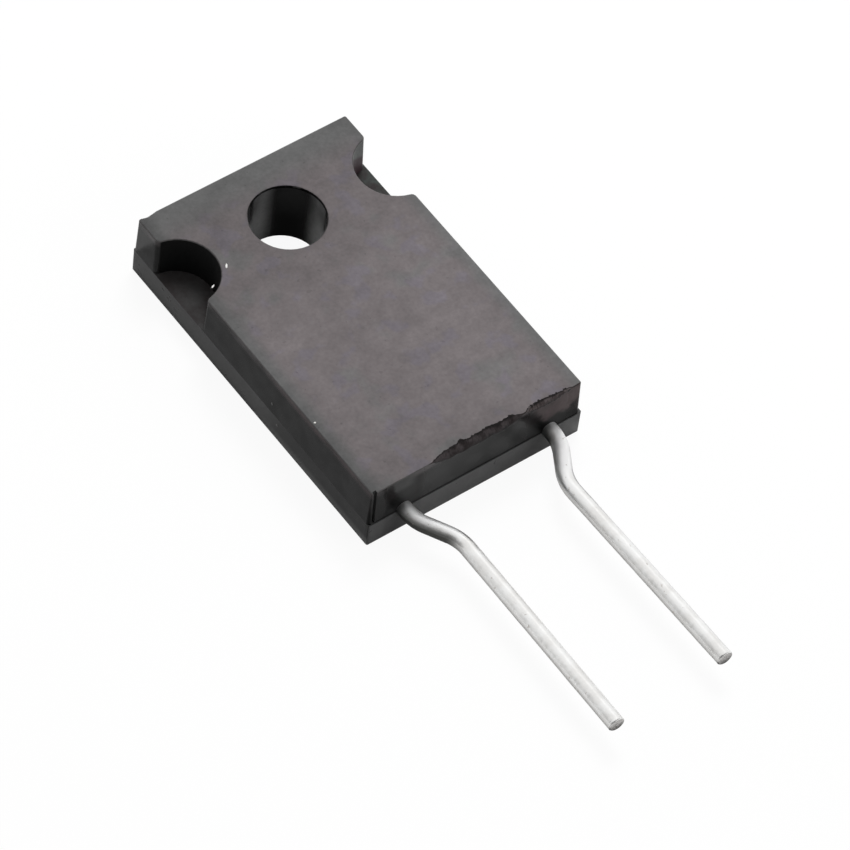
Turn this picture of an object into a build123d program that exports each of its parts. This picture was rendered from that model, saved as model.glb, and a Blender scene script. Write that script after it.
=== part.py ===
"""Power resistor in a flat moulded package with a screw hole and two round wire leads.

Millimetres.  The mounting face lies on z = 0 and +Z points away from it.  The origin is the
axis of the screw hole on the mounting face, the tab lies toward +Y and the leads toward -Y.
"""
import os
from math import radians, tan

from build123d import *

os.makedirs("parts", exist_ok=True)

# ---- case -----------------------------------------------------------------------------
CASE_W = 10.41          # width of the lower half
CASE_L = 16.26          # length of the lower half
CASE_T = 3.18           # overall thickness
PARTING_Z = 1.24        # height of the parting plane, which is also the lead centre height
TAB_EDGE_Y = 3.18       # hole axis to the tab edge
DRAFT = 2.2             # draft of the upper half's walls, degrees
STEP_SIDE = 0.045       # how far the upper half stands in from the lower one, each side
STEP_FRONT = 0.04       # the same at the lead end
STEP_TAB = 0.03         # the same at the tab edge
MISMATCH_X = -0.045     # sideways offset of the upper mould half
TOP_ROUND = 0.06        # rounding of the top face's rim
CORNER_ROUND = 0.16     # rounding of the upper half's upright corners
BASE_ROUND = 0.08       # rounding of the lower half's upright corners

# ---- screw hole and side notches ------------------------------------------------------
HOLE_D = 3.18
HOLE_LEAD_IN = 0.10     # rounding of the hole's upper rim
NOTCH_R = 1.62          # radius of the half-moon notches at the parting plane
NOTCH_OUT = 0.085       # how far their centres lie outside the lower half's sides
NOTCH_LIP = 0.22        # rounding where a notch meets the side wall

# ---- marks left by moulding and wear ----------------------------------------------------
# broken-off gate on the top edge at the lead end: x, reach back, reach down
GATE = ((-2.20, 0.04, 0.05), (-1.85, 0.15, 0.22), (-1.40, 0.21, 0.34), (-1.05, 0.19, 0.30),
        (-0.75, 0.31, 0.38), (-0.40, 0.20, 0.31), (0.15, 0.22, 0.36), (0.70, 0.25, 0.30),
        (1.15, 0.18, 0.37), (1.60, 0.21, 0.28), (1.90, 0.12, 0.20), (2.15, 0.03, 0.04))
# worn stretch of the same edge: distance in from the right side, reach back, reach down
WORN = ((2.85, 0.04, 0.04), (2.60, 0.14, 0.13), (2.30, 0.19, 0.20), (1.80, 0.17, 0.22),
        (1.40, 0.12, 0.18), (0.95, 0.08, 0.10), (0.60, 0.03, 0.03))
# nick in the tab edge: distance in from the left side, reach back, reach down
NICK = ((0.22, 0.05, 0.05), (0.48, 0.12, 0.15), (0.72, 0.07, 0.12), (0.98, 0.03, 0.03))
SEAM_IN = 0.215         # narrow upright seam beside the left corner: its middle to the side
SEAM_W = 0.17
SEAM_DEPTH = 0.20

# ---- ceramic substrate and films ------------------------------------------------------
SUB_SIDE_WALL = 0.905   # case wall beside the substrate
SUB_FRONT_WALL = 0.73   # case wall at its lead end
SUB_HOLE_GAP = 1.16     # moulding between the screw hole and the substrate
SUB_T = 0.76
FILM_T = 0.03           # thickness of the conductor and resistor films
PAD_W = 1.20            # conductor bar under each lead
PAD_EDGE = 0.15         # bare ceramic between a bar and the substrate's sides
PAD_ENDS = (0.35, 0.45)  # the same at the lead end and the hole end
FILM_ENDS = (2.95, 0.75)  # substrate's ends to the resistor film, lead end and hole end
TRIM_X = 0.90           # trimming cut in the resistor film
TRIM_W = 0.12
TRIM_L = 1.90
GLAZE_T = 0.05
GLAZE_LAP = 0.20        # lap of the glass over the bars and past the film

# ---- leads and their joints -----------------------------------------------------------
LEAD_D = 0.71
LEAD_BEND_R = 2.0       # centre line radius of the two bends
LEAD_GRIP = 2.98        # length of wire held inside the case
BEND_1_OUT = 0.69       # case to the corner of the first bend
BEND_2_OUT = 2.41       # case to the corner of the second bend
LEAD_CUT = 0.02         # broken edge of the sheared end
LEAD_PITCH = 5.08       # board pitch the wires are bent to
LEAD_SET = {            # hand-bent offsets outward: at the case, after the bends, at the end
    "left": (-0.03, -0.01, 0.07),
    "right": (0.05, 0.06, 0.23),
}
LEAD_OUT = {"left": 12.52, "right": 12.36}   # wire standing out of the case
SOLDER_W = (1.10, 0.80)  # foot and crown of the joint
SOLDER_END_GAP = 0.50   # joint to the substrate's lead end
SOLDER_L = 1.85
SOLDER_TOP = 1.46

FRONT_Y = TAB_EDGE_Y - CASE_L
MID_Y = TAB_EDGE_Y - CASE_L / 2
UPPER_T = CASE_T - PARTING_Z
TOP_IN = UPPER_T * tan(radians(DRAFT))
NOTCH_X = CASE_W / 2 + NOTCH_OUT
SUB_W = CASE_W - 2 * SUB_SIDE_WALL
SUB_Y = (FRONT_Y + SUB_FRONT_WALL, -HOLE_D / 2 - SUB_HOLE_GAP)
PAD_X = SUB_W / 2 - PAD_EDGE - PAD_W / 2
PAD_Y = (SUB_Y[0] + PAD_ENDS[0], SUB_Y[1] - PAD_ENDS[1])
FILM_Y = (SUB_Y[0] + FILM_ENDS[0], SUB_Y[1] - FILM_ENDS[1])
FILM_Z = SUB_T + FILM_T
LEAD_INNER_Y = FRONT_Y + LEAD_GRIP
SOLDER_Y = SUB_Y[0] + SOLDER_END_GAP


def lead_points(side):
    """Corners of a lead's centre line: out of the case, two bends inward, straight on."""
    s = -1 if side == "left" else 1
    at_case, bent, end = LEAD_SET[side]
    return [(s * (x + offset), y, PARTING_Z) for x, offset, y in (
        (PAD_X, at_case, LEAD_INNER_Y),
        (PAD_X, at_case, FRONT_Y - BEND_1_OUT),
        (LEAD_PITCH / 2, bent, FRONT_Y - BEND_2_OUT),
        (LEAD_PITCH / 2, end, FRONT_Y - LEAD_OUT[side]),
    )]


# ---- ceramic substrate: bare alumina plate, flush with the mounting face ----------------
with BuildPart() as ceramic_substrate:
    with BuildSketch():
        with Locations((0, sum(SUB_Y) / 2)):
            Rectangle(SUB_W, SUB_Y[1] - SUB_Y[0])
    extrude(amount=SUB_T)
ceramic_substrate.part.label = "ceramic_substrate"

# ---- conductor bars -------------------------------------------------------------------
with BuildPart() as left_pad:
    with BuildSketch(Plane.XY.offset(SUB_T)):
        with Locations((-PAD_X, sum(PAD_Y) / 2)):
            Rectangle(PAD_W, PAD_Y[1] - PAD_Y[0])
    extrude(amount=FILM_T)
left_pad.part.label = "left_pad"

with BuildPart() as right_pad:
    with BuildSketch(Plane.XY.offset(SUB_T)):
        with Locations((PAD_X, sum(PAD_Y) / 2)):
            Rectangle(PAD_W, PAD_Y[1] - PAD_Y[0])
    extrude(amount=FILM_T)
right_pad.part.label = "right_pad"

# ---- resistor film between the bars, with its trimming cut ------------------------------
with BuildPart() as resistor_film:
    with BuildSketch(Plane.XY.offset(SUB_T)):
        with Locations((0, sum(FILM_Y) / 2)):
            Rectangle(2 * PAD_X - PAD_W, FILM_Y[1] - FILM_Y[0])
        with Locations((TRIM_X, FILM_Y[0] + TRIM_L / 2)):
            Rectangle(TRIM_W, TRIM_L, mode=Mode.SUBTRACT)
    extrude(amount=FILM_T)
resistor_film.part.label = "resistor_film"

# ---- glass over the film, lapping onto both bars ----------------------------------------
with BuildPart() as overglaze:
    with BuildSketch(Plane.XY.offset(SUB_T)):
        with Locations((0, sum(FILM_Y) / 2)):
            Rectangle(2 * PAD_X - PAD_W + 2 * GLAZE_LAP, FILM_Y[1] - FILM_Y[0] + GLAZE_LAP)
    extrude(amount=FILM_T + GLAZE_T)
    add(resistor_film.part, mode=Mode.SUBTRACT)
    add(left_pad.part, mode=Mode.SUBTRACT)
    add(right_pad.part, mode=Mode.SUBTRACT)
overglaze.part.label = "overglaze"

# ---- leads ----------------------------------------------------------------------------
with BuildPart() as left_lead:
    with BuildLine():
        FilletPolyline(*lead_points("left"), radius=LEAD_BEND_R)
    with BuildSketch(Plane(origin=lead_points("left")[0], z_dir=(0, -1, 0))):
        Circle(LEAD_D / 2)
    sweep()
    chamfer(left_lead.edges().group_by(Axis.Y)[0], length=LEAD_CUT)
left_lead.part.label = "left_lead"

with BuildPart() as right_lead:
    with BuildLine():
        FilletPolyline(*lead_points("right"), radius=LEAD_BEND_R)
    with BuildSketch(Plane(origin=lead_points("right")[0], z_dir=(0, -1, 0))):
        Circle(LEAD_D / 2)
    sweep()
    chamfer(right_lead.edges().group_by(Axis.Y)[0], length=LEAD_CUT)
right_lead.part.label = "right_lead"


def solder_section(x):
    """Section of a solder joint across the lead: wide foot, narrow crown."""
    foot, crown = SOLDER_W
    return [(x - foot / 2, FILM_Z), (x + foot / 2, FILM_Z),
            (x + crown / 2, SOLDER_TOP), (x - crown / 2, SOLDER_TOP)]


# ---- solder joints: a ridge along each lead, with the wire's round let into it ------------
with BuildPart() as left_solder:
    with BuildSketch(Plane.XZ.offset(-SOLDER_Y)):
        Polygon(*solder_section(lead_points("left")[0][0]), align=None)
    extrude(amount=-SOLDER_L)
    crown_edges = left_solder.edges().filter_by(Axis.Y).group_by(Axis.Z)[-1]
    fillet(crown_edges, radius=0.2)
    add(left_lead.part, mode=Mode.SUBTRACT)
left_solder.part.label = "left_solder"

with BuildPart() as right_solder:
    with BuildSketch(Plane.XZ.offset(-SOLDER_Y)):
        Polygon(*solder_section(lead_points("right")[0][0]), align=None)
    extrude(amount=-SOLDER_L)
    crown_edges = right_solder.edges().filter_by(Axis.Y).group_by(Axis.Z)[-1]
    fillet(crown_edges, radius=0.2)
    add(right_lead.part, mode=Mode.SUBTRACT)
right_solder.part.label = "right_solder"

top_front = FRONT_Y + STEP_FRONT + TOP_IN
top_back = TAB_EDGE_Y - STEP_TAB - TOP_IN
gate_marks = GATE
worn_marks = [(CASE_W / 2 - d, back, down) for d, back, down in WORN]
nick_marks = [(d - CASE_W / 2, back, down) for d, back, down in NICK]


def break_section(edge_y, inward, back, down):
    """Section across a broken edge: from the top face, back from the edge, to the wall."""
    out = edge_y - inward * 0.2
    return [(out, CASE_T - down), (edge_y, CASE_T - down),
            (edge_y + inward * back, CASE_T + 0.01), (out, CASE_T + 0.01)]


# ---- upper mould half: drafted, with the two half-moon notches open at the sides ----------
with BuildPart() as upper_half:
    with BuildSketch(Plane.XY.offset(PARTING_Z)):
        with Locations((MISMATCH_X, MID_Y + (STEP_FRONT - STEP_TAB) / 2)):
            RectangleRounded(CASE_W - 2 * STEP_SIDE, CASE_L - STEP_FRONT - STEP_TAB,
                             CORNER_ROUND)
    extrude(amount=UPPER_T, taper=DRAFT)
    with Locations((-NOTCH_X, 0, PARTING_Z), (NOTCH_X, 0, PARTING_Z)):
        Cone(NOTCH_R, NOTCH_R + TOP_IN, UPPER_T,
             align=(Align.CENTER, Align.CENTER, Align.MIN), mode=Mode.SUBTRACT)
    lips = upper_half.edges().filter_by(
        lambda e: abs(abs(e.center().X) - CASE_W / 2) < 0.3
        and abs(e.center().Y) < NOTCH_R + 0.3
        and e.bounding_box().size.Z > 0.9 * UPPER_T)
    fillet(lips, radius=NOTCH_LIP)
    fillet(upper_half.faces().sort_by(Axis.Z)[-1].edges(), radius=TOP_ROUND)

# ---- moulded case: two mould halves that meet on the lead centre line -------------------
with BuildPart() as moulded_case:
    with BuildSketch():
        with Locations((0, MID_Y)):
            RectangleRounded(CASE_W, CASE_L, BASE_ROUND)
    extrude(amount=PARTING_Z)
    add(upper_half.part)
    # screw hole, its upper rim eased
    with BuildSketch():
        Circle(HOLE_D / 2)
    extrude(amount=CASE_T, mode=Mode.SUBTRACT)
    rim = moulded_case.edges().filter_by(GeomType.CIRCLE).group_by(Axis.Z)[-1]
    fillet(rim.filter_by(lambda e: abs(e.radius - HOLE_D / 2) < 0.01), radius=HOLE_LEAD_IN)
    # broken gate, worn stretch and nick: wedges of changing size along the top edges
    for marks, edge_y, inward in ((gate_marks, top_front, 1), (worn_marks, top_front, 1),
                                  (nick_marks, top_back, -1)):
        for x, back, down in marks:
            with BuildSketch(Plane.YZ.offset(x)):
                Polygon(*break_section(edge_y, inward, back, down), align=None)
        loft(ruled=True, mode=Mode.SUBTRACT)
    # upright seam beside the left corner
    with BuildSketch(Plane.XY.offset(PARTING_Z)):
        with Locations((SEAM_IN - CASE_W / 2, FRONT_Y + SEAM_DEPTH / 2)):
            Rectangle(SEAM_W, SEAM_DEPTH + 2 * STEP_FRONT)
    extrude(amount=UPPER_T, mode=Mode.SUBTRACT)
    # room for everything the case is moulded around
    for inside in (ceramic_substrate, left_pad, right_pad, resistor_film, overglaze,
                   left_solder, right_solder, left_lead, right_lead):
        add(inside.part, mode=Mode.SUBTRACT)
moulded_case.part.label = "moulded_case"

for piece in (moulded_case, ceramic_substrate, left_pad, right_pad, resistor_film, overglaze,
              left_solder, right_solder, left_lead, right_lead):
    export_step(piece.part, f"parts/{piece.part.label}.step")
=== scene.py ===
"""Power resistor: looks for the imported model, with its camera, floor and soft light.

Sizes and places are written in mm and become metres where a mesh, lamp or texture is made.
"""
import math
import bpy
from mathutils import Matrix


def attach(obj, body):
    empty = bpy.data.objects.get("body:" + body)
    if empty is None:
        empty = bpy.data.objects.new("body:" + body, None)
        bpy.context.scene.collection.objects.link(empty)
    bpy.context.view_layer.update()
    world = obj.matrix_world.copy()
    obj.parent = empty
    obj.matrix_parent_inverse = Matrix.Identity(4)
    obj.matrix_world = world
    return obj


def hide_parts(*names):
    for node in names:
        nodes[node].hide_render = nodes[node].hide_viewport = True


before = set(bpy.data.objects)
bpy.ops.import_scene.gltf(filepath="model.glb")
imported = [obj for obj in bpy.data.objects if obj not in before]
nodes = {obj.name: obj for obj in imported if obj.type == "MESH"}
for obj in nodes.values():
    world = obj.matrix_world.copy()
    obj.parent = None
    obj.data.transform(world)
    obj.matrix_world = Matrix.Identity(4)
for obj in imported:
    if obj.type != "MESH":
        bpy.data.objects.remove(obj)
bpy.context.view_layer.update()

from types import SimpleNamespace

import bpy
import numpy as np
from mathutils import Matrix

MM = 0.001
scene = bpy.context.scene


def world_matrix(axes, place):
    """World matrix for an object whose axes are the rows given and whose place is in mm."""
    matrix = np.eye(4)
    matrix[:3, :3] = axes.T
    matrix[:3, 3] = place * MM
    return Matrix(matrix.tolist())


# ---- camera ---------------------------------------------------------------------------
CAMERA_AZ, CAMERA_EL, CAMERA_ROLL = -132.527, 53.112, 8.098    # degrees
CAMERA_TARGET = np.array([0.0, -4.82, 1.5])                    # near the middle of the part
CAMERA_SHIFT = np.array([-2.806, 4.037, -230.39])              # the target as the camera sees it
LENS, SENSOR = 244.90758, 36


def camera_axes(azimuth, elevation, roll):
    """Rows are the camera's right, up and back axes for that viewing direction and roll."""
    a, e, r = np.radians([azimuth, elevation, roll])
    back = np.array([math.cos(e) * math.cos(a), math.cos(e) * math.sin(a), math.sin(e)])
    right = np.cross([0, 0, 1], back)
    right /= np.linalg.norm(right)
    up = np.cross(back, right)
    turn = np.array([[math.cos(r), math.sin(r), 0], [-math.sin(r), math.cos(r), 0], [0, 0, 1]])
    return turn @ np.array([right, up, back])


axes = camera_axes(CAMERA_AZ, CAMERA_EL, CAMERA_ROLL)
camera = bpy.data.objects.new("camera", bpy.data.cameras.new("camera"))
scene.collection.objects.link(camera)
camera.matrix_world = world_matrix(axes, CAMERA_TARGET - axes.T @ CAMERA_SHIFT)
camera.data.sensor_width = SENSOR
camera.data.lens = LENS
camera.data.clip_start, camera.data.clip_end = 0.01, 20
scene.camera = camera
scene.view_settings.view_transform = "Standard"


# ---- node helpers ---------------------------------------------------------------------
class Nodes:
    """Short calls that add shader nodes to one node tree and link them."""

    def __init__(self, tree):
        self.tree = tree
        tree.nodes.clear()

    def fill(self, node, links):
        """Each input, by name or number, is linked to a socket or set to a plain value."""
        for key, value in links.items():
            if isinstance(value, bpy.types.NodeSocket):
                self.tree.links.new(value, node.inputs[key])
            else:
                node.inputs[key].default_value = value

    def add(self, kind, links=(), **settings):
        """A node of that kind, with its properties set and then its inputs."""
        node = self.tree.nodes.new(kind)
        for key, value in settings.items():
            setattr(node, key, value)
        self.fill(node, dict(links))
        return node

    # numbers
    def math(self, operation, a, b=0.0, clamp=False):
        return self.add("ShaderNodeMath", {0: a, 1: b}, operation=operation,
                        use_clamp=clamp).outputs[0]

    def joined(self, operation, values):
        """The values joined two at a time by that operation."""
        result = values[0]
        for value in values[1:]:
            result = self.math(operation, result, value)
        return result

    def product(self, *values):
        return self.joined("MULTIPLY", values)

    def total(self, *values):
        return self.joined("ADD", values)

    def most(self, *values):
        return self.joined("MAXIMUM", values)

    def size(self, value):
        return self.math("ABSOLUTE", value)

    def rest(self, value):
        """What is left of one."""
        return self.math("SUBTRACT", 1.0, value)

    def ramp(self, value, low, high, to_low=0.0, to_high=1.0, smooth=True):
        """value mapped from low..high to to_low..to_high, held outside."""
        return self.add("ShaderNodeMapRange",
                        {"Value": value, "From Min": low, "From Max": high,
                         "To Min": to_low, "To Max": to_high},
                        interpolation_type="SMOOTHSTEP" if smooth else "LINEAR").outputs[0]

    def between(self, value, start, low, high, end):
        """1 from low to high, fading to 0 at start below and at end above."""
        return self.product(self.ramp(value, start, low), self.ramp(value, end, high))

    def vary(self, pattern, low, high):
        """A noise, which keeps near 0.5, mapped straight to low..high."""
        return self.ramp(pattern, 0.3, 0.7, low, high, False)

    # vectors
    def parts(self, vector):
        return self.add("ShaderNodeSeparateXYZ", {0: vector}).outputs

    def place_in_mm(self, place):
        return self.parts(self.add("ShaderNodeVectorMath", {0: place, 1: (1 / MM,) * 3},
                                   operation="MULTIPLY").outputs[0])

    def normal(self):
        return self.add("ShaderNodeTexCoord").outputs["Normal"]

    def facing(self, direction):
        """Dot product of the surface's normal and that direction."""
        return self.add("ShaderNodeVectorMath", {0: self.normal(), 1: direction},
                        operation="DOT_PRODUCT").outputs["Value"]

    # colours
    def grey(self, level):
        return self.add("ShaderNodeCombineXYZ", {0: level, 1: level, 2: level}).outputs[0]

    def blend(self, amount, a, b, how="MIX"):
        """Colour a where amount is 0 and b where it is 1, mixed in that way between."""
        node = self.add("ShaderNodeMix", data_type="RGBA", blend_type=how)
        self.fill(node, {0: amount, 6: a, 7: b})
        return node.outputs[2]

    def times(self, colour, factor):
        return self.blend(1.0, colour, factor, "MULTIPLY")

    # patterns and relief
    def noise(self, place, size, detail=2.0, rough=0.5, shift=0.0):
        """Noise with features about size mm across; another shift gives another pattern."""
        mapped = self.add("ShaderNodeMapping", {"Vector": place, "Scale": (1 / (MM * size),) * 3,
                                                "Location": (shift,) * 3}).outputs[0]
        return self.add("ShaderNodeTexNoise", {"Vector": mapped, "Scale": 1.0,
                                               "Detail": detail, "Roughness": rough}).outputs[0]

    def bump(self, height, depth):
        """Relief of that height pattern, depth mm deep."""
        return self.add("ShaderNodeBump", {"Height": height, "Strength": 1.0,
                                           "Distance": depth * MM}).outputs[0]

    def finish(self, shader, kind="ShaderNodeOutputMaterial"):
        self.tree.links.new(shader, self.add(kind).inputs[0])


def srgb(red, green=None, blue=None):
    """Linear colour from sRGB levels of 0 to 255; one level alone is a grey."""
    levels = np.array([red, red if green is None else green, red if blue is None else blue])
    v = levels / 255
    v = np.where(v < 0.04045, v / 12.92, ((v + 0.055) / 1.055) ** 2.4)
    return (*v.tolist(), 1.0)


def new_material(name):
    """An empty material and the helper for its nodes."""
    made = bpy.data.materials.new(name)
    made.use_nodes = True
    return made, Nodes(made.node_tree)


def material(name, build, **constants):
    """A material whose shader takes its constants on its own sockets and the rest from
    build(n, place), which returns the linked inputs."""
    made, n = new_material(name)
    place = n.add("ShaderNodeTexCoord").outputs["Object"]
    n.finish(n.add("ShaderNodeBsdfPrincipled", {**constants, **build(n, place)}).outputs[0])
    return made


# ---- shapes worked out as whole arrays --------------------------------------------------
def crumpled(rows, columns, cells, seed):
    """Heights of about -1 to 1 on a rows x columns grid: random levels on coarser grids,
    joined by straight lines both ways, each finer grid with half the height of the last."""
    rng = np.random.default_rng(seed)
    heights = np.zeros((rows, columns))
    for order, (m, n) in enumerate(cells):
        levels = rng.uniform(-1, 1, (m + 1, n + 1))
        down = np.maximum(0, 1 - abs(np.linspace(0, m, rows)[:, None] - np.arange(m + 1)))
        across = np.maximum(0, 1 - abs(np.linspace(0, n, columns)[:, None] - np.arange(n + 1)))
        heights += down @ levels @ across.T / 2 ** order
    return heights


def crumpled_round(rows, around, cells, seed):
    """The same on rings: half of each ring is crumpled, and the other half mirrors it, so
    that the ring closes."""
    half = crumpled(rows, around // 2 + 1, cells, seed)
    return np.concatenate([half, half[:, -2:0:-1]], 1)


def tube_faces(count, around):
    """Corner numbers of the quads between count rings of points, and of the two end fans."""
    i, j = np.meshgrid(np.arange(count - 1), np.arange(around), indexing="ij")
    a, b = i * around + j, i * around + (j + 1) % around
    quads = np.stack([a, b, b + around, a + around], -1).reshape(-1, 4)
    j = np.arange(around)
    after = (j + 1) % around
    last = (count - 1) * around
    first_fan = np.stack([after, j, np.full(around, count * around)], 1)
    last_fan = np.stack([last + j, last + after, np.full(around, count * around + 1)], 1)
    return quads, first_fan, last_fan


def closed_tube(name, rings, finish, uv=None):
    """A piece from rings of points, array (ring, point round it, xyz) in mm: each ring is
    joined to the next, and both ends are closed by a fan onto the end ring's mean point.
    The signed volume says which way round the faces go, so that they point outwards."""
    points = np.concatenate([rings.reshape(-1, 3), rings[[0, -1]].mean(1)])
    faces = tube_faces(*rings.shape[:2])
    p, q, r, t = (points[faces[0][:, k]] for k in range(4))
    volume = np.einsum("ij,ij->", p, np.cross(q, r)) + np.einsum("ij,ij->", p, np.cross(r, t))
    if volume < 0:
        faces = [some[:, ::-1] for some in faces]
    mesh = bpy.data.meshes.new(name)
    mesh.from_pydata((points * MM).tolist(), [], sum((some.tolist() for some in faces), []))
    mesh.polygons.foreach_set("use_smooth", np.ones(len(mesh.polygons), bool))
    if uv is not None:
        flat = np.concatenate([uv.reshape(-1, 2), uv[[0, -1]].mean(1)])
        corner = np.empty(len(mesh.loops), np.int32)
        mesh.loops.foreach_get("vertex_index", corner)
        mesh.uv_layers.new(name="along").data.foreach_set("uv", flat[corner].ravel())
    mesh.materials.append(finish)
    mesh.update()
    piece = bpy.data.objects.new(name, mesh)
    scene.collection.objects.link(piece)
    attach(piece, "root")
    return piece


# ---- finish of the moulded case -----------------------------------------------------------
TOP_FACE, PARTING = 3.18, 1.24      # heights of the top face and of the parting plane
FRONT_Y = -13.08                    # the wall that the wires come out of
HOLE_R = 1.59                       # the screw hole, round x = y = 0
PAINTED_BANDS_ACROSS = (0.737, -0.676)      # direction from one painted reflection band in the screw hole to the other, about the camera's right


def case_patterns(n, place):
    """Noises that mottle the case, from the widest to the finest."""
    return SimpleNamespace(
        clouds=n.noise(place, 3.2, 3, 0.55),
        hue=n.noise(place, 1.7, 2, 0.55, shift=3.7),
        violet=n.noise(place, 1.1, 2, 0.5, shift=8.1),
        mottle=n.noise(place, 1.0, 1, 0.5, shift=6.2),
        streaks=n.noise(place, 0.8, 3, 0.6),
        pits=n.ramp(n.noise(place, 0.30, 2, 0.5, shift=5.3), 0.31, 0.26),
        grain=n.noise(place, 0.16, 3, 0.55))


def case_places(n, place):
    """Masks, 1 inside and 0 outside, of the case's surfaces and of named places on them."""
    x, y, z = n.place_in_mm(place)
    across, along, up = n.parts(n.normal())
    at = SimpleNamespace(x=x, y=y, z=z)
    upward = n.ramp(up, 0.80, 0.97)
    high = n.ramp(z, TOP_FACE - 0.5, TOP_FACE - 0.4)
    # surfaces
    at.top = n.product(upward, high)
    at.ledge = n.product(upward, n.rest(high))
    at.edge = n.product(n.between(up, 0.12, 0.3, 0.90, 0.97), high)
    at.lower = n.ramp(z, PARTING + 0.005, PARTING - 0.005)
    at.upper_wall = n.product(n.rest(at.lower), n.ramp(up, 0.3, 0.12))
    at.left_wall = n.ramp(across, -0.7, -0.9)
    at.far_walls = n.most(n.ramp(across, 0.6, 0.9), n.ramp(along, 0.6, 0.9))
    at.front_wall = n.product(n.ramp(along, -0.85, -0.95), n.ramp(y, FRONT_Y + 0.5, FRONT_Y + 0.4))
    # stretches of them
    at.right_half = n.ramp(x, -1, 1)
    at.low_left = n.product(at.left_wall, n.ramp(y, -5.2, -8.0))
    at.worn = n.product(at.edge, n.ramp(y, FRONT_Y + 0.50, FRONT_Y + 0.42), n.ramp(x, -2.5, -2.2))
    at.seam = n.product(n.between(x, -5.095, -5.075, -4.905, -4.885),
                        n.ramp(y, FRONT_Y + 0.30, FRONT_Y + 0.25),
                        n.ramp(up, 0.9, 0.8), n.ramp(z, PARTING, PARTING + 0.02))
    # painted shade: the front-left corner, darkened together with the wires' painted reflections
    at.corner = n.product(n.ramp(x, -5.0, -5.06), n.ramp(z, 2.6, 2.0),
                          n.ramp(y, FRONT_Y + 0.24, FRONT_Y + 0.18))
    # screw hole and notches
    across_x, across_y = PAINTED_BANDS_ACROSS
    # across and along the painted reflection bands in the screw hole
    at.aside = n.total(n.product(x, across_x), n.product(y, across_y))
    at.beyond = n.total(n.product(x, -across_y), n.product(y, across_x))
    at.from_hole = n.math("SQRT", n.total(n.product(x, x), n.product(y, y)))
    at.bore = n.ramp(at.from_hole, HOLE_R + 0.16, HOLE_R + 0.11)
    at.notch = n.product(n.ramp(n.size(y), 1.74, 1.66), n.ramp(n.size(x), 5.06, 4.98),
                         n.ramp(at.from_hole, HOLE_R + 0.81, HOLE_R + 0.91),
                         n.rest(n.most(upward, at.lower)))
    return at


def painted_shade_bands(n, at, by):
    """Two dark slanting bands on the front wall beside the wires, painted dark reflections of
    the wires. Each band's coordinate is x plus a share of z, so it leans over to the wire's
    root; the right one widens below. Noise moves x a little, so that the edges wander. The
    front-left corner is joined to them as painted shade."""
    wander = n.total(n.ramp(by.streaks, 0.3, 0.7, -0.16, 0.16),
                     n.ramp(by.grain, 0.3, 0.7, -0.06, 0.06))
    x = n.total(at.x, wander)
    lean = n.total(x, n.product(at.z, 0.85))
    widening = n.product(n.ramp(at.z, 2.3, 2.0), n.ramp(at.x, 2.0, 3.1))
    right = n.product(n.most(n.ramp(lean, 4.15, 4.65), widening), n.ramp(lean, 5.22, 4.78),
                      n.ramp(at.z, 3.12, 2.9))
    lean = n.total(x, n.product(at.z, 0.6))
    foot = n.math("SUBTRACT", at.z, n.product(x, 0.9))
    left = n.product(n.ramp(x, -4.55, -4.25), n.ramp(lean, -2.30, -2.65), n.ramp(foot, 5.10, 5.50))
    # painted shade: dark reflections of the wires and a dark front-left corner
    return n.most(n.product(at.front_wall, n.most(right, left)), at.corner)


def top_colour(n, at, by):
    """Grey top: level is a sum of soft steps along y and x, painted light that makes it paler
    toward the front and the right and painted shade that darkens it by the side rims and the
    front edge; tinted mauve and violet in patches away from the rims."""
    # painted light and shade: paler toward the front and right, darker by the side rims and the front
    # edge
    steps = ((at.y, 0.5, -5.5, 1.0), (at.y, -11.0, -12.8, -0.6), (at.x, 0.5, 3.5, 0.35),
             (at.x, -4.2, -5.1, -1.3), (at.x, 4.0, 4.9, -0.45))
    level = n.total(*(n.ramp(value, start, end, 0, change) for value, start, end, change in steps))
    grey = n.grey(n.ramp(level, -1.5, 1.5, 0.080, 0.163, False))
    inner = n.product(n.ramp(n.size(at.x), 5.0, 4.3), n.ramp(at.y, 2.6, 1.0))
    mauve = n.product(inner, n.ramp(by.hue, 0.30, 0.46, 0.25, 1.0))
    violet = n.product(inner, n.ramp(by.violet, 0.54, 0.64))
    tint = n.blend(mauve, (1, 1, 1, 1), (1.115, 1.0, 1.02, 1))
    tint = n.blend(violet, tint, (1.10, 1.0, 1.11, 1))
    return n.times(grey, tint)


def lower_colour(n, at, by):
    """Paler lower half, darker low on the left wall, with light chips along its foot."""
    colour = n.blend(n.ramp(at.y, -4.6, -6), srgb(72), srgb(77))
    colour = n.blend(at.low_left, colour, n.blend(n.ramp(at.z, 0.55, 0.05), srgb(36), srgb(104)))
    chips = n.product(n.ramp(by.grain, 0.56, 0.62), n.ramp(at.z, 0.11, 0.05), at.left_wall)
    colour = n.blend(chips, colour, srgb(150))
    # painted light: the lower front wall paler at its right end
    painted_light_right_end = n.product(at.front_wall, n.ramp(at.x, 3.7, 4.4))
    return n.blend(painted_light_right_end, colour, srgb(86))


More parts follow.
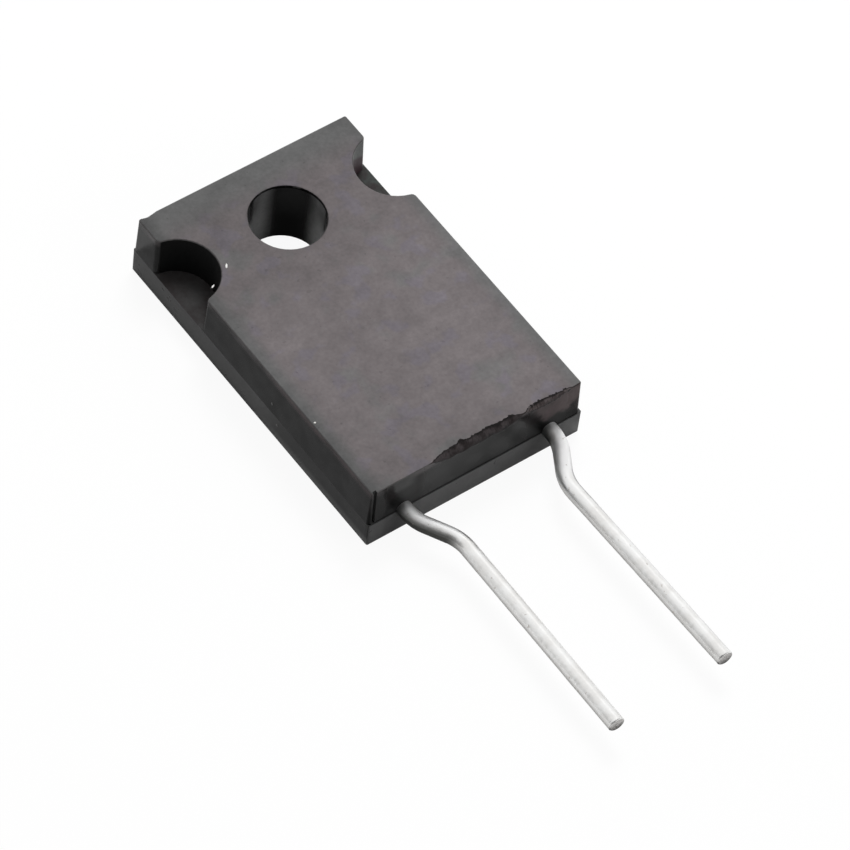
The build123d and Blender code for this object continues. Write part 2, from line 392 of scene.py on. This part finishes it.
def wall_colour(n, at, by, painted_shade):
    """Dark upper walls, darker on the left and front than on the walls facing right and back as
    painted shade: mottled, with a painted highlight strip of the top's grey along their upper
    edge, a rubbed reddish stretch and a pale patch on the front wall, and painted dark
    reflections of the wires over them."""
    # painted shade: the left and front walls get darker copies than the walls facing right and back
    dark = n.blend(at.far_walls, srgb(10), srgb(42))
    light = n.blend(at.far_walls, srgb(34), srgb(54))
    colour = n.blend(n.ramp(by.mottle, 0.34, 0.66), dark, light)
    # painted highlight along the walls' upper edge
    strip = n.product(n.ramp(at.z, 2.75, 3.12), n.ramp(by.hue, 0.3, 0.6, 0.3, 1.0))
    colour = n.blend(strip, colour, n.blend(at.low_left, srgb(78, 74, 75), srgb(80, 70, 71)))
    ragged_z = n.total(at.z, n.ramp(by.streaks, 0.3, 0.7, -0.25, 0.25))
    rubbed = n.product(at.front_wall, n.ramp(at.x, 2.5, 3.1), n.ramp(ragged_z, 1.75, 2.4))
    rubbed_colour = n.blend(n.ramp(by.hue, 0.35, 0.65), srgb(74, 64, 65), srgb(62, 56, 56))
    rubbed_colour = n.blend(n.ramp(at.x, 3.7, 4.2), rubbed_colour, srgb(84, 75, 75))
    colour = n.blend(rubbed, colour, rubbed_colour)
    pale = n.product(at.front_wall, n.between(at.x, -4.15, -3.95, -3.4, -2.9),
                     n.ramp(at.z, 2.3, 2.65))
    colour = n.blend(pale, colour, srgb(60))
    # painted dark reflections of the wires and painted shade in the front-left corner
    return n.blend(painted_shade, colour, n.blend(n.ramp(at.z, 1.9, 2.3), srgb(4), srgb(14, 9, 10)))


def notch_colour(n, at):
    """Black left notch, painted shade; the right one is brownish grey, paler above a slanting line as
    a painted reflection.
    """
    # painted reflection: the right notch's wall is paler above this line; the left notch's black is
    # painted shade
    slant = n.ramp(n.total(at.z, n.product(at.y, 1.6)), 4.62, 4.88)
    return n.blend(at.right_half, srgb(20), n.blend(slant, srgb(62, 50, 54), srgb(90, 92, 91)))


def hole_colour(n, at):
    """Bore near-black as painted shade, with two upright bands of painted reflection in its far
    half, one on each side of the middle, paler deeper down."""
    aside = n.size(n.math("DIVIDE", at.aside, at.from_hole))
    # painted reflections: two pale upright bands in the bore's far half, paler deeper down
    bands = n.product(n.ramp(aside, 0.36, 0.78),
                      n.most(n.ramp(aside, 0.96, 0.88), n.ramp(at.z, 2.3, 1.6)),
                      n.ramp(at.beyond, -0.9, -0.3))
    deeper = n.ramp(at.z, 2.6, 0.8)
    band_colour = n.blend(at.right_half, n.blend(deeper, srgb(76), srgb(140)),
                          n.blend(deeper, srgb(140), srgb(205)))
    # the rest of the bore near-black as painted shade
    return n.blend(bands, srgb(2), band_colour)


def ledge_colour(n, at, by):
    """Ledge of the lower half: mottled, mossy in the right notch, and paler toward the wires."""
    mossy = n.blend(at.right_half, srgb(66, 65, 65), srgb(68, 73, 71))
    mottled = n.blend(n.ramp(by.streaks, 0.35, 0.65), srgb(58, 54, 54), mossy)
    return n.blend(n.ramp(at.y, -6.0, -7.0), mottled, srgb(80))


def edge_colour(n, at, by):
    """Grey rounded rims, black round the far half of the screw hole as painted shade."""
    # painted shade: black inside the far rim of the screw hole
    painted_shade_far_rim = n.product(n.ramp(at.beyond, -0.5, 0.3),
                        n.ramp(at.from_hole, HOLE_R + 0.31, HOLE_R + 0.21),
                        n.ramp(by.streaks, 0.30, 0.50, 0.5, 1.0))
    return n.blend(painted_shade_far_rim, srgb(84, 82, 82), srgb(12))


def case_finish(n, place):
    """Black moulding compound: matt grey top with faint mauve patches, glossier dark walls,
    paler lower half, dark screw hole and brown worn edges, each laid over the last."""
    by, at = case_patterns(n, place), case_places(n, place)
    # painted dark reflections of the wires and painted shade in the front-left corner
    painted_shade = painted_shade_bands(n, at, by)
    worn = n.blend(n.ramp(by.streaks, 0.35, 0.65), srgb(38, 31, 31), srgb(58, 49, 48))
    colour = n.blend(at.lower, wall_colour(n, at, by, painted_shade), lower_colour(n, at, by))
    for mask, over in ((at.notch, notch_colour(n, at)),
                       (at.bore, hole_colour(n, at)),
                       (at.ledge, ledge_colour(n, at, by)),
                       (n.product(at.ledge, at.low_left), srgb(30)),
                       (at.edge, edge_colour(n, at, by)),
                       (at.top, top_colour(n, at, by)),
                       (at.worn, worn),
                       # painted light: the groove by the front-left corner paler than the moulding
                       # round it
                       (at.seam, srgb(64))):
        colour = n.blend(mask, colour, over)
    pits = n.product(by.pits, at.top)
    shade = n.product(n.vary(by.clouds, 0.92, 1.08), n.vary(by.streaks, 0.90, 1.10),
                      n.vary(by.grain, 0.92, 1.08), n.ramp(pits, 0, 1, 1.0, 0.86, False))
    return {"Base Color": n.times(colour, n.grey(shade)), **case_gloss(n, at, by, painted_shade),
            "Normal": n.bump(case_relief(n, at, by, pits), 0.006)}


def case_gloss(n, at, by, painted_shade):
    """Matt top and ledge, half-gloss walls, duller round the wires and in the notches, and less
    reflection in the bore, the notches and the front-left corner, under the painted dark
    reflections of the wires, and a little on the upper walls."""
    near_wires = n.product(at.front_wall, n.most(n.between(at.x, 2.2, 2.8, 4.2, 4.6),
                                                 n.between(at.x, -4.6, -4.3, -2.9, -2.4)))
    rough = n.total(n.ramp(n.most(at.top, at.ledge), 0, 1, 0.17, 0.7, False),
                    n.product(n.most(at.worn, at.lower), 0.15), n.product(at.notch, 0.4),
                    n.product(near_wires, 0.25))
    rough = n.blend(at.bore, rough, (0.16, 0.16, 0.16, 1))
    rough = n.total(rough, n.vary(by.streaks, -0.06, 0.06))
    # less reflection under the painted shade, in the bore and notches and a little on the upper walls
    less = n.most(at.bore, n.product(painted_shade, 0.8), n.product(at.notch, 0.9), at.corner,
                  n.product(at.upper_wall, 0.16))
    return {"Roughness": rough,
            "Specular Tint": n.blend(less, (1, 1, 1, 1), (0.12, 0.12, 0.12, 1))}


def case_relief(n, at, by, pits):
    """Grain, strong on the top and worn edges and faint elsewhere, less the pits."""
    grain = n.product(by.grain, n.ramp(n.most(at.top, at.worn), 0, 1, 0.12, 1.0, False))
    return n.math("SUBTRACT", grain, pits)


# ---- other finishes ---------------------------------------------------------------------
def broken_finish(darker, paler):
    """Broken moulding: rough mottled face with a dark ragged rim and a dark foot, both painted
    shade. The along map runs over it from the rim on the top face (0) to its foot on the
    front wall (1)."""
    def build(n, place):
        down = n.parts(n.add("ShaderNodeUVMap", uv_map="along").outputs[0])[1]
        mottle = n.noise(place, 0.35, 3, 0.6)
        grain = n.noise(place, 0.06, 4, 0.7)
        ragged = n.total(down, n.vary(mottle, -0.12, 0.12))
        colour = n.blend(n.ramp(mottle, 0.36, 0.64), darker, paler)
        # painted shade: a dark ragged rim on the top face and a dark foot on the front wall
        colour = n.blend(n.ramp(ragged, 0.42, 0.22), colour, srgb(30, 27, 27))
        colour = n.blend(n.ramp(ragged, 0.60, 0.90), colour, srgb(22))
        return {"Base Color": n.times(colour, n.grey(n.vary(grain, 0.90, 1.10))),
                "Roughness": n.ramp(ragged, 0.60, 0.90, 0.75, 0.25),
                "Normal": n.bump(grain, 0.007)}
    return build


WIRE_END_Y = -25.2                  # the last of each wire, from where its rim is rolled
UNDER_LEFT = (-0.6, -0.5, -0.62)    # direction of the wires' flank painted darker as shade
OVER_RIGHT = (0.89, -0.20, 0.41)    # direction of the right wire's side painted greyer as shade


def tin_colour(n, at):
    """Pale blotchy tin: a flank painted darker as shade, darkest toward the case, a side of the
    right wire painted grey as shade, a painted highlight above near the case, stains and a
    shaded root."""
    # painted shade: the flank facing down and left is darker, darkest toward the case
    painted_shade_flank = n.blend(n.ramp(at.flank, 0.2, 0.55), srgb(132, 132, 130), srgb(70, 70, 68))
    near_case = n.ramp(at.y, n.ramp(at.x, -0.5, 0.5, -16.1, -14.0),
                       n.ramp(at.x, -0.5, 0.5, -15.2, -13.5))
    flank = n.total(at.flank, n.product(near_case, 0.3))
    # painted shade: the right wire's side facing OVER_RIGHT painted grey
    grey_side = n.product(n.ramp(n.facing(OVER_RIGHT), 0.78, 0.98), n.ramp(at.x, -0.5, 0.5))
    root = n.product(n.ramp(at.y, -13.50, -13.08), n.ramp(at.across, -0.3, 0.3, 0.70, 0.25))
    colour = n.blend(n.ramp(at.blotch, 0.35, 0.65), srgb(231, 230, 228), srgb(242, 242, 241))
    for mask, over in ((n.ramp(flank, 0.1, 0.6), n.blend(near_case, srgb(190, 189, 187), painted_shade_flank)),
                       (grey_side, srgb(218)),
                       # painted highlight above the wire near the case
                       (n.product(at.first_bend, n.ramp(flank, 0.0, -0.3)), srgb(253)),
                       (n.product(at.stain, 0.5), srgb(178, 168, 160)),
                       (root, srgb(96))):
        colour = n.blend(mask, colour, over)
    return colour


def tinned_finish(n, place):
    """Tinned wire with fine drawn lines, and a darker sheared end whose rolled rim is darker on
    its lower side and whose cut face is darker toward the bottom, both painted shade. The
    along map runs round the wire (first) and along it in mm (second)."""
    x, y, z = n.place_in_mm(place)
    across, along, up = n.parts(n.normal())
    wire = n.add("ShaderNodeUVMap", uv_map="along").outputs[0]
    lines = n.add("ShaderNodeMapping", {"Vector": wire, "Scale": (50, 0.8, 1)}).outputs[0]
    drawn = n.add("ShaderNodeTexNoise", {"Vector": lines, "Scale": 1.0, "Detail": 3.0}).outputs[0]
    at = SimpleNamespace(
        x=x, y=y, across=across, flank=n.facing(UNDER_LEFT), blotch=n.noise(place, 0.7, 2, 0.5),
        stain=n.ramp(n.noise(place, 0.22, 2, 0.55, shift=2.9), 0.66, 0.74),
        first_bend=n.ramp(y, -15.8, -14.8))
    cut = n.ramp(along, -0.80, -0.93)
    rim = n.product(n.ramp(along, -0.10, -0.30), n.ramp(up, 0.25, -0.2),
                    n.ramp(y, WIRE_END_Y, WIRE_END_Y - 0.05))
    grain = n.noise(place, 0.08, 3, 0.6)
    ragged = n.total(n.ramp(z, 0.9, 1.5), n.ramp(grain, 0.35, 0.65, -0.2, 0.2))
    # painted shade: the rolled rim's lower side and the cut face's lower part are darker
    colour = n.blend(rim, tin_colour(n, at), srgb(84, 82, 80))
    colour = n.blend(cut, colour, n.blend(ragged, srgb(80, 78, 76), srgb(182, 180, 178)))
    rough = n.total(n.vary(at.blotch, 0.28, 0.36), n.product(n.most(cut, at.stain), 0.15),
                    n.product(at.first_bend, n.ramp(x, -0.5, 0.5, 0.18, 0.24)))
    return {"Base Color": colour, "Roughness": rough, "Normal": n.bump(drawn, 0.0015)}


def alumina_finish(n, place):
    """White ceramic with faint clouds and a fine grain."""
    grain = n.noise(place, 0.06, 4, 0.6)
    clouds = n.ramp(n.noise(place, 2.5, 2, 0.5), 0.35, 0.65)
    return {"Base Color": n.blend(clouds, (0.80, 0.79, 0.76, 1), (0.87, 0.86, 0.84, 1)),
            "Roughness": n.vary(grain, 0.5, 0.65), "Normal": n.bump(grain, 0.002)}


def film_finish(low, high):
    """A thin grainy layer whose colour runs from low to high with its grain."""
    def build(n, place):
        grain = n.noise(place, 0.08, 3, 0.6)
        return {"Base Color": n.blend(grain, low, high), "Roughness": n.vary(grain, 0.35, 0.5),
                "Normal": n.bump(grain, 0.003)}
    return build


METAL = {"Metallic": 1.0}
MOULDED = {"Specular IOR Level": 0.18}
moulding = material("moulding", case_finish, **MOULDED)
broken_moulding = material("broken_moulding", broken_finish(srgb(44, 39, 39), srgb(66, 61, 62)),
                           **MOULDED)
worn_moulding = material("worn_moulding", broken_finish(srgb(64, 57, 57), srgb(92, 85, 85)),
                         **MOULDED)
moulding_crumb = material("moulding_crumb", film_finish(srgb(98), srgb(124)))
tinned = material("tinned_wire", tinned_finish, **METAL)
alumina = material("alumina", alumina_finish)
silver_film = material("silver_film", film_finish((0.55, 0.54, 0.52, 1), (0.68, 0.67, 0.65, 1)),
                       **METAL)
solder = material("solder", film_finish((0.50, 0.50, 0.52, 1), (0.64, 0.64, 0.66, 1)), **METAL)
dark_film = material("dark_film", film_finish((0.02, 0.02, 0.02, 1), (0.05, 0.045, 0.04, 1)))
green_glass = material("green_glass", film_finish((0.03, 0.10, 0.06, 1), (0.05, 0.14, 0.08, 1)))

for node, finish in {
    "moulded_case": moulding, "ceramic_substrate": alumina, "left_pad": silver_film,
    "right_pad": silver_film, "resistor_film": dark_film, "overglaze": green_glass,
    "left_solder": solder, "right_solder": solder, "left_lead": tinned, "right_lead": tinned,
}.items():
    nodes[node].data.materials.clear()
    nodes[node].data.materials.append(finish)


# ---- wires ------------------------------------------------------------------------------
WIRE_R, BEND_R = 0.355, 2.0
TIN_UNEVEN = 0.004                   # how far the tin is uneven each way
ROLL_LEAST, ROLL_MORE = 0.05, 0.055  # the sheared rim's roll, and how much deeper at the blade
BLADE_AT = 3.6                       # angle round the wire where the blade came in
FACE_SUNK, FACE_CRUMPLE = 0.014, 0.012
CORNERS = {     # corners of each wire's centre line from inside the case to its end
    "left": ((-3.52, -10.10), (-3.52, -13.77), (-2.53, -15.49), (-2.61, -25.73)),
    "right": ((3.60, -10.10), (3.60, -13.77), (2.60, -15.49), (2.77, -25.57)),
}


def centre_line(corners, count):
    """Stations along a line whose heading turns evenly through an arc of BEND_R at each
    inner corner and holds between: the points are the running sum of that heading.
    Gives the stations, their points and their headings."""
    corners = np.array(corners)
    legs = np.diff(corners, axis=0)
    headings = np.unwrap(np.arctan2(legs[:, 1], legs[:, 0]))
    turns = np.diff(headings)
    cut_back = BEND_R * np.tan(abs(turns) / 2)
    straight = np.hypot(*legs.T) - np.r_[0, cut_back] - np.r_[cut_back, 0]
    ends = np.cumsum(np.stack([straight, np.r_[BEND_R * abs(turns), 0]], 1).ravel()[:-1])
    s = np.linspace(0, ends[-1], 8001)
    heading = np.interp(s, np.r_[0, ends], np.repeat(headings, 2))
    step = np.stack([np.cos(heading), np.sin(heading)], 1)
    run = np.concatenate([[[0, 0]], np.cumsum((step[1:] + step[:-1]) / 2, 0) * (s[1] - s[0])])
    stations = np.linspace(0, ends[-1], count)
    points = [np.interp(stations, s, corners[0, k] + run[:, k]) for k in (0, 1)]
    return stations, np.stack(points, 1), np.interp(stations, s, heading)


def wire(side, seed):
    """Round wire along its centre line: radius WIRE_R less a faint unevenness of the tin. At
    the sheared end it rolls over by a quarter round, deeper on the side where the blade came
    in, and the cut face inside it is a crumpled disc. Every ring has a radius and a station
    for each angle round the wire."""
    rows, around, face_rows = 420, 72, 15
    turn = np.linspace(0, 2 * np.pi, around, endpoint=False)
    s, points, heading = centre_line(CORNERS[side], rows)
    # body, quarter round and face, each as radii and stations
    roll = ROLL_LEAST + ROLL_MORE * (1 + np.cos(turn - BLADE_AT)) / 2
    uneven = crumpled_round(rows, around, ((40, 3), (160, 6)), seed)
    body_r = WIRE_R - TIN_UNEVEN + TIN_UNEVEN * uneven
    body_s = s[:, None] * (s[-1] - roll.max()) / s[-1] + 0 * turn
    quarter = np.linspace(0, np.pi / 2, 9)[1:, None]
    roll_r = WIRE_R - roll * (1 - np.cos(quarter))
    roll_s = s[-1] - roll * (1 - np.sin(quarter))
    inwards = np.linspace(1, 0.02, face_rows + 1)[1:, None]
    crumple = FACE_CRUMPLE * crumpled_round(face_rows, around, ((4, 6), (8, 14)), seed + 1)
    face_r = roll_r[-1] * inwards
    face_s = s[-1] - FACE_SUNK + crumple * np.minimum(1, (1 - inwards) * 6)
    radius = np.concatenate([body_r, roll_r, face_r])
    at = np.concatenate([body_s, roll_s, np.minimum(face_s, s[-1])])
    x, y, h = (np.interp(at, s, v) for v in (points[:, 0], points[:, 1], heading))
    out = radius * np.cos(turn)
    rings = np.stack([x - np.sin(h) * out, y + np.cos(h) * out, PARTING + radius * np.sin(turn)],
                     -1)
    uv = np.stack([np.abs(turn / np.pi - 1) + 0 * at, at], -1)
    piece = closed_tube(f"{side}_wire", rings, tinned, uv)
    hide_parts(f"{side}_lead")


wire("left", 11)
wire("right", 12)


# ---- broken gate and worn edge ------------------------------------------------------------
TOP_EDGE_Y, WALL_SLOPE = -12.965, math.tan(math.radians(2.2))
CRUST_LEAST, CRUST_UNDER, RIM_UNDER = 0.003, 0.02, 0.012    # thickness over and under the break
# each mark of a break: x, reach back over the top face, reach down the front wall
GATE = ((-2.20, 0.04, 0.05), (-1.85, 0.15, 0.22), (-1.40, 0.21, 0.34), (-1.05, 0.19, 0.30),
        (-0.75, 0.31, 0.38), (-0.40, 0.20, 0.31), (0.15, 0.22, 0.36), (0.70, 0.25, 0.30),
        (1.15, 0.18, 0.37), (1.60, 0.21, 0.28), (1.90, 0.12, 0.20), (2.15, 0.03, 0.04))
WORN = ((2.31, 0.04, 0.04), (2.56, 0.14, 0.13), (2.86, 0.19, 0.20), (3.36, 0.17, 0.22),
        (3.76, 0.12, 0.18), (4.21, 0.08, 0.10), (4.56, 0.03, 0.03))


def break_section(back, down, behind, below, v):
    """Points y and z across a break, for v from 0 to 1: straight runs from a ragged bit
    behind it on the top face, down its slope, to a ragged foot on the front wall."""
    foot = down + below
    corner_y = np.stack([TOP_EDGE_Y + back + behind, TOP_EDGE_Y + back,
                         TOP_EDGE_Y - down * WALL_SLOPE, TOP_EDGE_Y - foot * WALL_SLOPE], 1)
    corner_z = TOP_FACE - np.stack([0 * down, 0 * down, down, foot], 1)
    hats = np.stack([np.interp(v, [0, 0.2, 0.8, 1], corner) for corner in np.eye(4)])
    return corner_y @ hats, corner_z @ hats


def broken_edge(name, marks, rag, finish, seed):
    """Thin crust over a broken stretch of the top front edge: the break's section along the
    edge, lifted outwards by crumpled heights on the slope, and back again just inside the
    case. rag is how far its rim and foot are ragged."""
    marks = np.array(marks)
    rows, columns = 520, 40
    x = np.linspace(marks[0, 0] - 0.02, marks[-1, 0] + 0.02, rows)
    v = np.linspace(0, 1, columns)
    back, down = (np.interp(x, marks[:, 0], marks[:, k]) for k in (1, 2))
    ends = np.clip(np.minimum(x - x[0], x[-1] - x) / 0.15, 0, 1)
    behind = rag * np.abs(crumpled(rows, 2, ((26, 1), (56, 1)), seed)[:, 0]) * ends
    below = rag * np.abs(crumpled(rows, 2, ((22, 1), (48, 1)), seed + 1)[:, 0]) * ends
    y, z = break_section(back, down, behind, below, v)
    slope = np.stack([0 * x, -down, back], 1)
    slope /= np.linalg.norm(slope, axis=1)[:, None]
    window = np.interp(v, [0, 0.2, 0.35, 0.65, 0.8, 1], [0, 0.25, 1, 1, 0.25, 0])
    heights = crumpled(rows, columns, ((40, 3), (96, 7), (200, 12)), seed + 2)
    lift = 0.004 + window * ends[:, None] * (0.018 + 0.018 * heights)
    surface = np.stack([x[:, None] + 0 * y, y, z], -1)
    outer = surface + slope[:, None] * np.maximum(lift, CRUST_LEAST)[..., None]
    inner = surface - slope[:, None] * CRUST_UNDER
    inner[:, [0, -1]] = outer[:, [0, -1]] - slope[:, None] * RIM_UNDER
    uv = np.stack([x[:, None] + 0 * y, 0 * y + v], -1)
    closed_tube(name, np.concatenate([outer, inner[:, ::-1]], 1), finish,
                np.concatenate([uv, uv[:, ::-1]], 1))


broken_edge("broken_gate", GATE, 0.08, broken_moulding, 21)
broken_edge("worn_edge", WORN, 0.07, worn_moulding, 31)


# ---- crumbs lying on the case: place, half sizes, heading of the long one in degrees --------
CERAMIC_CRUMBS = (((-3.49, -0.73, 3.186), (0.11, 0.045, 0.018), 55),
                  ((-4.53, -1.27, 3.165), (0.085, 0.032, 0.022), 20),
                  ((-5.01, -8.93, 3.188), (0.045, 0.040, 0.022), 0))
MOULDING_CRUMBS = (((-5.185, -6.45, 1.73), (0.06, 0.022, 0.06), 80),
                   ((-5.207, -6.90, 0.85), (0.05, 0.02, 0.05), 80))


def crumb(name, place, half, heading, finish, slot, seed):
    """An ellipsoid with the half sizes given, its radius uneven by a crumpled quarter, its
    long axis turned to that heading."""
    rows, around = 14, 18
    polar, turn = np.meshgrid(np.linspace(0.12, math.pi - 0.12, rows),
                              np.linspace(0, 2 * math.pi, around, endpoint=False), indexing="ij")
    uneven = 1 + 0.25 * crumpled_round(rows, around, ((4, 3), (8, 6)), seed)
    long, wide, tall = (h * uneven for h in half)
    a = long * np.cos(polar)
    b = wide * np.sin(polar) * np.cos(turn)
    c, s = math.cos(math.radians(heading)), math.sin(math.radians(heading))
    rings = np.stack([a * c - b * s, a * s + b * c, tall * np.sin(polar) * np.sin(turn)], -1)
    closed_tube(name, rings + np.array(place), finish)


for i, sizes in enumerate(CERAMIC_CRUMBS):
    crumb(f"ceramic_crumb_{i + 1}", *sizes, alumina, "alumina", 40 + i)
for i, sizes in enumerate(MOULDING_CRUMBS):
    crumb(f"moulding_crumb_{i + 1}", *sizes, moulding_crumb, "case_moulding", 50 + i)


# ---- stage: floor, panels and world -------------------------------------------------------
GLOW, GLOW_MIRRORED = 0.93, 0.10    # how far the floor glows white, seen and in reflections
FLOOR_Z, FLOOR_HALF = -0.02, 3000.0
CARD_Z = -0.01
AMBIENT = 0.5                       # the white world's strength as a light
REFLECTED_ONLY = ("camera", "diffuse", "transmission", "volume_scatter", "shadow")


def stage_piece(name, points, faces, finish, hidden_from=()):
    """A piece of the stage, not seen by the kinds of ray named."""
    mesh = bpy.data.meshes.new(name)
    mesh.from_pydata((np.array(points) * MM).tolist(), [], faces)
    mesh.materials.append(finish)
    made = bpy.data.objects.new(name, mesh)
    scene.collection.objects.link(made)
    for kind in hidden_from:
        setattr(made, f"visible_{kind}", False)


def rectangle(x, y, z):
    """Corners of a level rectangle between two x and two y."""
    return [(x[0], y[0], z), (x[1], y[0], z), (x[1], y[1], z), (x[0], y[1], z)]


def floor_finish():
    """Pale floor that keeps its shadows: mostly glowing white where the camera sees it, plain
    where it only sends light on, and clear from below."""
    made, n = new_material("floor")
    path = n.add("ShaderNodeLightPath").outputs
    mirrored = n.math("ADD", path["Is Glossy Ray"], path["Is Transmission Ray"], clamp=True)
    seen = n.math("ADD", path["Is Camera Ray"], mirrored, clamp=True)
    colour = n.blend(seen, (0.80, 0.80, 0.80, 1), (1, 1, 1, 1))
    lit = n.add("ShaderNodeBsdfDiffuse", {"Color": colour}).outputs[0]
    glow = n.add("ShaderNodeEmission", {"Strength": 1.0}).outputs[0]
    share = n.total(n.product(path["Is Camera Ray"], GLOW), n.product(mirrored, GLOW_MIRRORED))
    white = n.add("ShaderNodeMixShader", {0: share, 1: lit, 2: glow}).outputs[0]
    clear = n.add("ShaderNodeBsdfTransparent").outputs[0]
    below = n.add("ShaderNodeNewGeometry").outputs["Backfacing"]
    n.finish(n.add("ShaderNodeMixShader", {0: below, 1: white, 2: clear}).outputs[0])
    return made


def glowing(name, level):
    """A plain even glow of that level."""
    made, n = new_material(name)
    n.finish(n.add("ShaderNodeEmission", {"Color": (level, level, level, 1)}).outputs[0])
    return made


def screen(name, azimuths, low, high, level, hidden_from):
    """A curved screen between two azimuths: straight lines from the low arc to the high one,
    each arc given by its radius and height."""
    count = 40
    turn = np.radians(np.linspace(*azimuths, count))
    arc = np.stack([np.cos(turn), np.sin(turn)], 1)
    points = np.concatenate([np.c_[arc * radius, np.full(count, height)]
                             for radius, height in (low, high)])
    faces = [(i, i + 1, i + 1 + count, i + count) for i in range(count - 1)]
    stage_piece(name, points, faces, glowing(name, level), hidden_from)


def floor_card(name, x, y, level):
    """A grey card on the floor, seen only in the glossy walls and wires: a painted shadow in their
    reflections.
    """
    stage_piece(name, rectangle(x, y, CARD_Z), [(0, 1, 2, 3)], glowing(name, level),
                REFLECTED_ONLY)


stage_piece("floor", rectangle((-FLOOR_HALF, FLOOR_HALF), (-FLOOR_HALF, FLOOR_HALF), FLOOR_Z),
            [(0, 1, 2, 3)], floor_finish())
screen("grey_screen", (-200, -95), (450, 30), (248, 750), 0.195, ("camera",))
# front_screen is seen only in reflections: a painted dark reflection
screen("front_screen", (-95, -20), (450, 300), (250, 620), 0.05, REFLECTED_ONLY)
# painted shadows: grey cards on the floor, seen only in reflections
floor_card("front_floor_card", (4.6, 8.4), (-16.0, -13.4), 0.30)     # by the right wire
floor_card("floor_card", (-13, -5.3), (-14, 3.85), 0.40)             # along the left wall


def white_room():
    """The world: plain white to the camera and in reflections, and AMBIENT as a light."""
    world = bpy.data.worlds.new("world")
    scene.world = world
    world.use_nodes = True
    n = Nodes(world.node_tree)
    path = n.add("ShaderNodeLightPath").outputs
    mirrored = n.total(path["Is Glossy Ray"], path["Is Transmission Ray"])
    seen = n.math("ADD", path["Is Camera Ray"], mirrored, clamp=True)
    strength = n.ramp(seen, 0, 1, AMBIENT, 1.0, False)
    sky = n.add("ShaderNodeBackground", {"Color": (1, 1, 1, 1), "Strength": strength}).outputs[0]
    n.finish(sky, "ShaderNodeOutputWorld")


white_room()


# ---- lamps --------------------------------------------------------------------------------
def softbox(name, azimuth, elevation, distance, size, radiance):
    """A square lamp of that radiance, aimed at the middle of the part. Its power is the
    radiance times its area times pi."""
    lamp = bpy.data.lights.new(name, "AREA")
    lamp.shape = "SQUARE"
    lamp.size = size * MM
    lamp.energy = radiance * math.pi * (size * MM) ** 2
    made = bpy.data.objects.new(name, lamp)
    scene.collection.objects.link(made)
    axes = camera_axes(azimuth, elevation, 0)
    made.matrix_world = world_matrix(axes, CAMERA_TARGET + axes[2] * distance)
    return made


key = softbox("key", 44, 60, 200, 80, 12.4)
key.visible_glossy = False      # the wires show the white room, not a hard lamp
softbox("sheen", 48, 46, 300, 120, 0.4)
fill = softbox("fill", -60, 25, 400, 200, 2.0)
fill.visible_glossy = False
